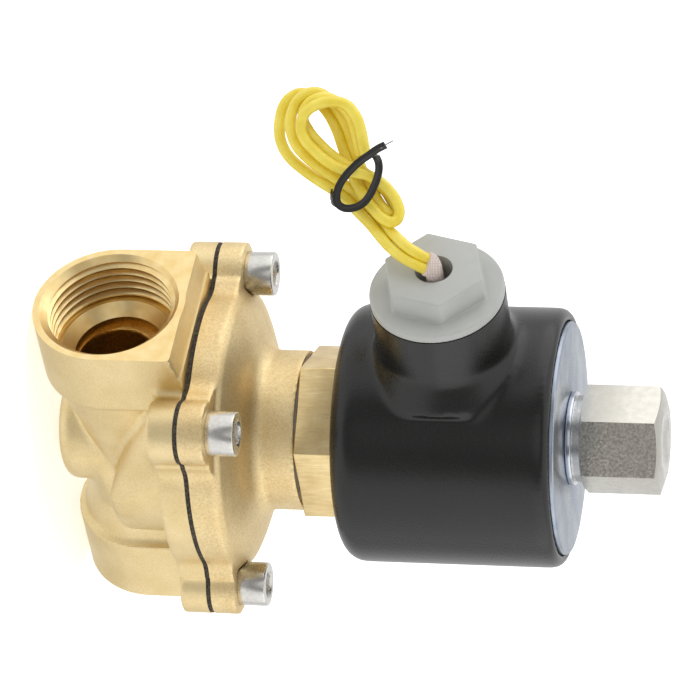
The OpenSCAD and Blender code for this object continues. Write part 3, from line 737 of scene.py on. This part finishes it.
# Studio: pale floor under the bosses, a bright tent with a dark ring round the camera and a grey
# one across from it, and two large soft lamps. Tent levels are (cosine, brightness).
studio = {
    "floorHeight": bodyLow.z - 0.1,
    "floorSize": 9000,
    "floorTone": (0.95, 0.95, 0.95),
    "floorGlow": 0.5,
    "tent": 1.08,
    "tentLevels": (
        (-1, 0.9), (-0.7, 0.8), (-0.5, 0.62), (-0.3, 1), (0.68, 1), (0.78, 0.24), (0.92, 0.24),
        (0.95, 0.75), (0.999, 0.75),
    ),
    "aimHeight": 40,
    "keyPower": 1.6,
    "keySize": 900,
    "keyPlace": (560, -520, 260),
    "fillPower": 0.8,
    "fillSize": 900,
    "fillPlace": (-330, 560, 130),
}


def addLamp(name, place, size, power):
    aim = Vector((stemX, 0, studio["aimHeight"])) * mm
    spot = Vector(place) * mm
    bpy.ops.object.light_add(type="AREA", location=spot)
    lamp = bpy.context.object
    lamp.name = name
    lamp.data.shape = "SQUARE"
    lamp.data.size = size * mm
    lamp.data.energy = power
    lamp.rotation_euler = (spot - aim).to_track_quat("Z", "Y").to_euler()


def tentLight(tree, direction, sign):
    # how bright the tent is, by the cosine of the angle between a ray and the way to the camera
    facing = tree.nodes.new("ShaderNodeVectorMath")
    facing.operation = "DOT_PRODUCT"
    facing.inputs[1].default_value = Vector(photoCamera["back"]) * sign
    tree.links.new(direction, facing.inputs[0])
    ramp = tree.nodes.new("ShaderNodeValToRGB")
    stops = ramp.color_ramp.elements
    stops[0].color = (studio["tentLevels"][0][1],) * 3 + (1,)
    for place, level in studio["tentLevels"][1:]:
        stops.new((place + 1) / 2).color = (level, level, level, 1)
    stops.remove(stops[len(stops) - 1])
    share = span(tree, facing.outputs["Value"], 0, 1, low=-1, high=1)
    tree.links.new(share, ramp.inputs["Fac"])
    return mathStep(tree, "MULTIPLY", ramp.outputs["Color"], studio["tent"])


def makeFloor():
    clearSelection()
    bpy.ops.mesh.primitive_plane_add(size=studio["floorSize"] * mm,
                                     location=(0, 0, studio["floorHeight"] * mm))
    floor = bpy.context.object
    floor.name = "floor"
    settle(floor)
    paper, tree, shader = newFinish("studioPaper", studio["floorTone"], 0.9)
    shader.inputs["Specular IOR Level"].default_value = 0.1
    path = tree.nodes.new("ShaderNodeLightPath")
    glow = mathStep(tree, "MULTIPLY", path.outputs["Is Camera Ray"], studio["floorGlow"])
    tree.links.new(glow, shader.inputs["Emission Strength"])
    shader.inputs["Emission Color"].default_value = (1, 1, 1, 1)
    # what mirrors the floor sees the tent in it
    mirrored = tree.nodes.new("ShaderNodeEmission")
    incoming = tree.nodes.new("ShaderNodeNewGeometry").outputs["Incoming"]
    tree.links.new(tentLight(tree, incoming, -1), mirrored.inputs["Strength"])
    choice = tree.nodes.new("ShaderNodeMixShader")
    tree.links.new(path.outputs["Is Glossy Ray"], choice.inputs[0])
    tree.links.new(shader.outputs["BSDF"], choice.inputs[1])
    tree.links.new(mirrored.outputs["Emission"], choice.inputs[2])
    tree.links.new(choice.outputs["Shader"], tree.nodes["Material Output"].inputs["Surface"])
    floor.data.materials.append(paper)


def makeTent():
    sky = bpy.data.worlds.new("studioTent")
    bpy.context.scene.world = sky
    sky.use_nodes = True
    tree = sky.node_tree
    back = tree.nodes["Background"]
    back.inputs["Color"].default_value = (1, 1, 1, 1)
    direction = tree.nodes.new("ShaderNodeTexCoord")
    light = tentLight(tree, direction.outputs["Generated"], 1)
    path = tree.nodes.new("ShaderNodeLightPath")
    strength = mathStep(tree, "MAXIMUM", light, path.outputs["Is Camera Ray"])
    tree.links.new(strength, back.inputs["Strength"])


def makeStudio():
    makeFloor()
    makeTent()
    addLamp("keyLamp", studio["keyPlace"], studio["keySize"], studio["keyPower"])
    addLamp("fillLamp", studio["fillPlace"], studio["fillSize"], studio["fillPower"])
    bpy.context.scene.view_settings.view_transform = "Standard"
    print("studio lit")


makeStudio()


# Cast body: the frame's solid with a cast skin, then its machined faces and bores. Body and
# bonnet come a little closer to each other than in the frame, so that the rubber looks squeezed.
castBody = {
    "voxel": 0.5,
    "passes": 7,
    "spare": 2,
    "portRadius": 13.3,
    "mouthRadius": 13.9,
    "mouthDepth": 0.6,
    "toolStart": 0.5,
    "threadLength": 9.65,
    "smoothRadius": 11.1,
    "smoothLength": 2.4,
    "passageRadius": 8.95,
    "passageLength": 2.2,
    "pitch": 1.814,
    "turns": 8,
    "crestRadius": 12.1,
    "crestHalf": 0.1,
    "rootHalf": 0.49,
    "rootDepth": 0.1,
    "ridgeStart": 0.3,
    "leadIn": 1.7,
    "spareCut": 0.1,
    "closer": 0.2,
    # depth from the port face beyond which the walls take the painted shade of the darker brown bore finish
    "paintedShadeDepth": 12,
}
threadEnd = castBody["mouthDepth"] + castBody["threadLength"]
smoothEnd = threadEnd + castBody["smoothLength"]


# The ears' outer walls are drawn in a little, which the photo's outline asks for
ears = {"spacing": 44, "beyond": 6.5, "stemReach": 28, "clearOfPorts": 16.3, "drawnIn": 0.6}


def shrinkEars(piece):
    def onEar(face):
        place = face.center / mm
        across, along = abs(place.x - stemX), abs(place.y)
        outwards = (across * abs(face.normal.x) + along * abs(face.normal.y)) / hypot(across, along)
        fromBolt = hypot(across - ears["spacing"] / 2, along - ears["spacing"] / 2)
        ofEar = hypot(across, along) > ears["stemReach"] and min(across, along) > ears["clearOfPorts"]
        return outwards > 0.5 and fromBolt > ears["beyond"] and ofEar

    selectIn(piece, onEar)
    bpy.ops.transform.shrink_fatten(value=-ears["drawnIn"] * mm)
    editDone()


def crispRim(piece, wanted):
    # a machined face meets the cast skin at a sharp edge
    selectIn(piece, wanted)
    bpy.ops.mesh.region_to_loop()
    bpy.ops.mesh.mark_sharp()
    editDone()


def portTool(side):
    # all that the tools take out of one port, drawn on from the mouth inwards
    face = outletFace if side > 0 else inletFace
    s = castBody
    low, high = sorted((face + side * s["toolStart"], face))
    tool = addBar("portTool", s["mouthRadius"], low, high, sides=128)
    depth, radius = 0, s["mouthRadius"]
    selectIn(tool, lambda f: f.normal.x * side < -squarely)
    for nextDepth, nextRadius in (
        (s["mouthDepth"], s["portRadius"]),
        (threadEnd, s["portRadius"]),
        (threadEnd, s["smoothRadius"]),
        (smoothEnd, s["passageRadius"]),
        (smoothEnd + s["passageLength"], s["passageRadius"]),
    ):
        inwards = ((depth - nextDepth) * side * mm, 0, 0)
        bpy.ops.mesh.extrude_region_move(TRANSFORM_OT_translate={"value": inwards})
        share = nextRadius / radius
        bpy.ops.transform.resize(value=(1, share, share))
        depth, radius = nextDepth, nextRadius
    editDone()
    faceOutwards(tool)
    return tool


def makeCastBody():
    s = castBody
    body = copyNode("castBody", "valve_body")
    top = bodyHigh.z + s["closer"]
    growFaces(body, onPlane("z", 1, bodyHigh.z), (0, 0, s["spare"]))
    growFaces(body, onPlane("x", 1, outletFace), (s["spare"], 0, 0))
    growFaces(body, onPlane("x", -1, inletFace), (-s["spare"], 0, 0))
    shrinkEars(body)
    for side, face in ((1, outletFace), (-1, inletFace)):
        low, high = sorted((face + side * s["spare"], face - side * smoothEnd))
        filling = addBar("portFilling", s["mouthRadius"] + s["spareCut"], low, high)
        combine(body, filling, "UNION")
    castSkin(body, s["voxel"], s["passes"])
    cutFlat(body, (0, 0, top), (0, 0, 1))
    cutFlat(body, (outletFace, 0, 0), (1, 0, 0))
    cutFlat(body, (inletFace, 0, 0), (-1, 0, 0))
    for side in (1, -1):
        combine(body, portTool(side), "DIFFERENCE")
    dress(body, "cast", "turned", "bore")

    def reachAndDepth(face):
        centre = face.center / mm
        return hypot(centre.y, centre.z), min(outletFace - centre.x, centre.x - inletFace)

    def inPort(face):
        reach, depth = reachAndDepth(face)
        return depth < smoothEnd + flatness and reach < s["mouthRadius"]

    def machined(face):
        return reachAndDepth(face)[1] < flatness or face.center.z / mm > top - flatness

    def deepInPaintedShade(face):
        reach, depth = reachAndDepth(face)
        return reach < s["passageRadius"] + overlap and depth > s["paintedShadeDepth"]

    # faces deep in the ports take the darker brown bore finish, which is painted shade
    dressFaces(body, "bore", deepInPaintedShade)
    dressFaces(body, "turned", inPort)
    dressFaces(body, "turned", machined)
    crispRim(body, machined)
    crispRim(body, inPort)
    smoothSides(body, angle=32)
    carry(body, "valve", "valve_body")


def makeThread(name, side):
    # one ridge wound along the port's wall and chamfered where it starts
    s = castBody
    face = outletFace if side > 0 else inletFace
    start = face + side * s["pitch"]
    clearSelection()
    bpy.ops.mesh.primitive_plane_add(size=1, location=(start * mm, 0, s["portRadius"] * mm))
    ridge = bpy.context.object
    ridge.name = name
    settle(ridge)
    inner = s["crestRadius"] - s["portRadius"]
    root, crest = s["rootHalf"], s["crestHalf"]
    corners = [(-root, s["rootDepth"]), (root, s["rootDepth"]), (-crest, inner), (crest, inner)]
    for vertex, (along, inward) in zip(ridge.data.vertices, corners):
        vertex.co = Vector((start + along * s["pitch"], 0, s["portRadius"] + inward)) * mm
    selectIn(ridge, lambda f: True)
    bpy.ops.mesh.delete(type="ONLY_FACE")
    editDone()
    useModifier(ridge, "SCREW", axis="X", angle=2 * pi, screw_offset=-side * s["pitch"] * mm,
                iterations=s["turns"], steps=96, render_steps=96, use_merge_vertices=False)
    low, high = sorted((face - side * s["ridgeStart"], face - side * threadEnd))
    selectIn(ridge, lambda f: True)
    bpy.ops.mesh.fill_holes(sides=0)
    editDone()
    faceOutwards(ridge)
    combine(ridge, addBar("spanTool", s["portRadius"] + toolReach, low, high), "INTERSECT")
    spare = s["spareCut"]
    low, high = sorted((face + side * spare, face - side * (s["leadIn"] + spare)))
    wide, narrow = s["mouthRadius"] + spare / 2, s["crestRadius"] - spare
    lowRadius, highRadius = (narrow, wide) if side > 0 else (wide, narrow)
    cone = addBar("leadInTool", lowRadius, low, high, endRadius=highRadius)
    combine(ridge, cone, "DIFFERENCE")
    dress(ridge, "turned")
    smoothSides(ridge, angle=40)
    carry(ridge, "valve")


makeCastBody()
makeThread("outletThread", 1)
makeThread("inletThread", -1)


# Cast bonnet with its four ears and the neck
castBonnet = {
    "voxel": 0.45,
    "passes": 3,
    "spare": 2,
    "flangeTop": 5.3,
    "coneHeight": 6.3,
    "sunk": 0.6,
    "seatRadius": 4.6,
    "seatDepth": 0.05,
    "seatHeight": 12,
    "boltSpacing": 44,
    "closer": 0.2,
}
screwSeat = bonnetLow.z + castBonnet["flangeTop"] - castBonnet["sunk"] - castBonnet["seatDepth"]


def makeBonnet():
    s = castBonnet
    bonnet = copyNode("castBonnet", "bonnet")
    bottom = bonnetLow.z - s["closer"]
    growFaces(bonnet, onPlane("z", -1, bonnetLow.z), (0, 0, -s["spare"]))
    flangeTop = bonnetLow.z + s["flangeTop"]
    selectIn(bonnet, lambda f: flangeTop - flatness < f.center.z / mm < flangeTop + s["coneHeight"])
    bpy.ops.transform.translate(value=(0, 0, -s["sunk"] * mm))
    editDone()
    shrinkEars(bonnet)
    castSkin(bonnet, s["voxel"], s["passes"])
    cutFlat(bonnet, (0, 0, bottom), (0, 0, -1))
    half = s["boltSpacing"] / 2
    for across, along in ((-half, -half), (-half, half), (half, -half), (half, half)):
        seat = addRod("seatTool", s["seatRadius"], screwSeat, screwSeat + s["seatHeight"], sides=48)
        for vertex in seat.data.vertices:
            vertex.co += Vector((along, across, 0)) * mm
        combine(bonnet, seat, "DIFFERENCE")
    dress(bonnet, "bonnet", "turned")
    dressFaces(bonnet, "turned", lambda f: f.center.z / mm < bottom + flatness)
    smoothSides(bonnet, angle=32)
    carry(bonnet, "valve", "bonnet")


makeBonnet()


# The diaphragm's rim shows between the flanges, a little inside their outline
diaphragmRim = {"drawnIn": 0.12, "fromStem": 20}


def makeDiaphragm():
    rubber = copyNode("rubberDiaphragm", "diaphragm")
    shrinkEars(rubber)

    def onRim(face):
        fromStem = hypot(face.center.x / mm - stemX, face.center.y / mm)
        return abs(face.normal.z) < 0.5 and fromStem > diaphragmRim["fromStem"]

    selectIn(rubber, onRim)
    bpy.ops.transform.shrink_fatten(value=-diaphragmRim["drawnIn"] * mm)
    editDone()
    dress(rubber, "rubber")
    smoothSides(rubber, angle=40)
    carry(rubber, "valve", "diaphragm")


makeDiaphragm()


# Socket-head cap screws, one modelled and three copied
capScrew = {
    "headRadius": 4.4,
    "headHeight": 5.7,
    "bevel": 0.35,
    "socketFlats": 4.7,
    "socketDepth": 2.6,
    "shankRadius": 2.4,
    "shankLength": 12,
    "lipWidth": 0.25,
    "lipDepth": 0.45,
    "edge": 0.08,
    "turns": (8, 21, 37, 50),
}


def makeScrews():
    s = capScrew
    top = screwSeat + s["headHeight"]
    head = addRod("capScrew1", s["headRadius"], screwSeat, top, sides=64)
    selectIn(head, lambda f: f.normal.z > squarely)
    bpy.ops.mesh.bevel(offset=s["bevel"] * mm, segments=4, affect="EDGES")
    editDone()
    shank = addRod("shank", s["shankRadius"], screwSeat - s["shankLength"], screwSeat + overlap, sides=32)
    combine(head, shank, "UNION")
    corner = cornerOf(s["socketFlats"])
    socket = addRod("socketTool", corner, top - s["socketDepth"], top + toolReach, sides=6)
    combine(head, socket, "DIFFERENCE")
    lip = addRod("lipTool", corner - s["lipWidth"], top - s["lipDepth"], top + flatness, sides=48,
                 topRadius=corner + s["lipWidth"])
    combine(head, lip, "DIFFERENCE")
    softenEdges(head, s["edge"], segments=2, angle=40)
    dress(head, "screw")
    smoothSides(head, angle=40)
    corners = ((1, 1), (-1, 1), (-1, -1), (1, -1))
    screws = [head]
    for number in range(2, 5):
        twin = head.copy()
        twin.data = head.data.copy()
        twin.name = "capScrew" + str(number)
        bpy.context.scene.collection.objects.link(twin)
        screws.append(twin)
    stem = Vector((stemX, 0, 0)) * mm
    for screw, (along, across), turn in zip(screws, corners, s["turns"]):
        place = stem + Vector((along, across, 0)) * (castBonnet["boltSpacing"] / 2 * mm)
        spin = Matrix.Translation(place) @ Matrix.Rotation(radians(turn), 4, "Z") @ Matrix.Translation(-stem)
        screw.data.transform(spin)
        carry(screw, "valve")
    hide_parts("bonnet_screws")


makeScrews()


# Brass hexagon with the spigot that screws into the bonnet
tubeBase = {"flats": 30.6, "turn": -1.4, "soft": 0.2, "spigotRadius": 11.95, "boreRadius": 8.25}


def makeTubeBase():
    s = tubeBase
    low = gasketHigh.z
    piece = addRod("tubeHexagon", cornerOf(s["flats"]), low, baseHigh.z, sides=6, turn=s["turn"])
    spigot = addRod("spigot", s["spigotRadius"], baseLow.z, low + overlap)
    combine(piece, spigot, "UNION")
    bore = addRod("boreTool", s["boreRadius"], baseLow.z - toolReach, baseHigh.z + toolReach)
    combine(piece, bore, "DIFFERENCE")
    softenEdges(piece, s["soft"], segments=3, angle=25)
    dress(piece, "hexagon")
    smoothSides(piece, angle=30)
    carry(piece, "valve", "tube_base")


makeTubeBase()


# Tall nut: a hexagon with a shallow turned cone at each end, a collar below and a dish on top
topNut = {
    "flats": 19,
    "turn": 25.3,
    "endRadius": 7.6,
    "footRadius": 9.2,
    "coneAngle": 18,
    "collarRadius": 8.6,
    "collarHeight": 1.6,
    "boreRadius": 4.95,
    "boreRoof": 4,
    "dishRadius": 5.3,
    "dishDepth": 1.3,
    "dishSpare": 0.2,
    "soft": 0.15,
    "facing": 0.85,
}


def makeTopNut():
    s = topNut
    low = nutLow.z + s["collarHeight"]
    piece = addRod("topNut", cornerOf(s["flats"]), low, nutHigh.z, sides=6, turn=s["turn"])
    flare = (nutHigh.z - low) / tan(radians(s["coneAngle"]))
    endCone = addRod("endCone", s["endRadius"] + flare, low, nutHigh.z, sides=128,
                     topRadius=s["endRadius"])
    combine(piece, endCone, "INTERSECT")
    footCone = addRod("footCone", s["footRadius"], low, nutHigh.z, sides=128,
                      topRadius=s["footRadius"] + flare)
    combine(piece, footCone, "INTERSECT")
    collar = addRod("collar", s["collarRadius"], nutLow.z, low + overlap)
    combine(piece, collar, "UNION")
    bore = addRod("boreTool", s["boreRadius"], nutLow.z - toolReach, nutHigh.z - s["boreRoof"], sides=64)
    combine(piece, bore, "DIFFERENCE")
    ball = (s["dishRadius"] ** 2 + s["dishDepth"] ** 2) / (2 * s["dishDepth"])
    clearSelection()
    centre = Vector((stemX, 0, nutHigh.z - s["dishDepth"] + ball)) * mm
    bpy.ops.mesh.primitive_uv_sphere_add(segments=96, ring_count=96, radius=ball * mm, location=centre)
    dish = bpy.context.object
    settle(dish)
    combine(piece, dish, "DIFFERENCE")
    softenEdges(piece, s["soft"], segments=3, angle=25)
    dress(piece, "nut", "screw", "rough")

    def isTurned(face):
        place = face.center / mm
        nearAxis = hypot(place.x - stemX, place.y) < s["dishRadius"] + s["dishSpare"]
        inDish = nearAxis and place.z > nutHigh.z - s["dishDepth"] - flatness
        return inDish or place.z < low - flatness

    # the hexagon faces that look toward the camera take the darker rough finish, which is painted shade on
    # that side
    def facesCameraShaded(face):
        towardCamera = face.normal.dot(Vector(photoCamera["back"]))
        return abs(face.normal.z) < 0.1 and towardCamera > s["facing"] and face.center.z / mm > low

    dressFaces(piece, "screw", isTurned)
    dressFaces(piece, "rough", facesCameraShaded)
    smoothSides(piece, angle=30)
    carry(piece, "valve", "top_nut")


makeTopNut()


# Washer under the nut, and the zinc plate in the can's mouth
topWasher = {"radius": 9.3, "hole": 5, "soft": 0.3, "segments": 3, "sides": 96, "holeSides": 64}
endPlate = {"radius": 23.07, "hole": 8.4, "soft": 0.45, "segments": 4, "sides": 192, "holeSides": 96}


def makeDisk(name, s, low, high, finish, body, node):
    piece = addRod(name, s["radius"], low, high, sides=s["sides"])
    hole = addRod("holeTool", s["hole"], low - toolReach, high + toolReach, sides=s["holeSides"])
    combine(piece, hole, "DIFFERENCE")
    softenEdges(piece, s["soft"], segments=s["segments"], angle=40)
    dress(piece, finish)
    smoothSides(piece, angle=30)
    carry(piece, body, node)


makeDisk("topWasher", topWasher, washerLow.z, washerHigh.z, "washer", "valve", "top_washer")
makeDisk("endPlate", endPlate, plateLow.z, plateHigh.z, "zinc", "coil", "end_plate")


# Coil can: drawn sheet with a soft root round the conduit boss
coilCan = {
    "voxel": 0.6,
    "passes": 14,
    "spare": 2,
    "mouthRadius": 23.12,
    "conduitRadius": 9.45,
    "conduitStart": 20,
    "conduitReach": 39.3,
}


def makeCan():
    s = coilCan
    can = copyNode("coilCan", "coil_can")
    face = stemX + s["conduitReach"]
    growFaces(can, onPlane("x", 1, face), (s["spare"], 0, 0))
    castSkin(can, s["voxel"], s["passes"])
    cutFlat(can, (face, 0, 0), (1, 0, 0))
    mouth = addRod("mouthTool", s["mouthRadius"], plateLow.z, canHigh.z + toolReach, sides=192)
    combine(can, mouth, "DIFFERENCE")
    conduit = addBar("conduitTool", s["conduitRadius"], stemX + s["conduitStart"], face + toolReach,
                     conduitZ)
    combine(can, conduit, "DIFFERENCE")
    dress(can, "enamel")
    smoothSides(can, angle=40)
    carry(can, "coil", "coil_can")


makeCan()


# Grey plug: round flange, hexagon, spigot and the hole for the leads
conduitPlug = {
    "flangeRadius": 13.1,
    "flangeThickness": 2,
    "hexFlats": 17.9,
    "turn": 14.9,
    "holeRadius": 3.7,
    "spigotRadius": 9.35,
    "spigotWall": 2.3,
    "hollowRoof": 0.5,
    "soft": 0.45,
}


def makePlug():
    s = conduitPlug
    face = stemX + coilCan["conduitReach"]
    flangeEnd = face + s["flangeThickness"]
    plug = addBar("conduitPlug", s["flangeRadius"], face, flangeEnd, conduitZ, sides=128)
    hexagon = addBar("plugHexagon", cornerOf(s["hexFlats"]), flangeEnd - overlap, plugHigh.x,
                     conduitZ, sides=6, turn=s["turn"])
    combine(plug, hexagon, "UNION")
    softenEdges(plug, s["soft"], segments=4, angle=35)
    spigot = addBar("spigot", s["spigotRadius"], plugLow.x, face + overlap, conduitZ)
    combine(plug, spigot, "UNION")
    hollow = addBar("hollowTool", s["spigotRadius"] - s["spigotWall"], plugLow.x - toolReach,
                    face - s["hollowRoof"], conduitZ, sides=64)
    combine(plug, hollow, "DIFFERENCE")
    hole = addBar("holeTool", s["holeRadius"], plugLow.x - toolReach, plugHigh.x + toolReach, conduitZ)
    combine(plug, hole, "DIFFERENCE")
    dress(plug, "plug")
    smoothSides(plug, angle=32)
    carry(plug, "coil", "conduit_plug")


makePlug()


# Carried-over nodes keep their shape and take the finishes above
carriedOver = {
    "base_gasket": "fibre",
    "armature_tube": "steel",
    "fixed_pole": "steel",
    "tube_stud": "steel",
    "return_spring": "steel",
    "pilot_hub": "turned",
    "seat_disc": "seal",
    "diaphragm_plate": "turned",
    "lift_cage": "steel",
    "hub_nut": "turned",
    "armature": "steel",
    "push_rod": "steel",
    "rod_collar": "steel",
    "pilot_seal": "seal",
    "flux_washer": "zinc",
    "bobbin": "white",
    "winding": "copper",
    "coil_wrap": "tape",
}


def dressNodes():
    for node, finish in carriedOver.items():
        dress(nodes[node], finish)
    print("carried-over nodes dressed:", len(carriedOver))


dressNodes()

clearSelection()
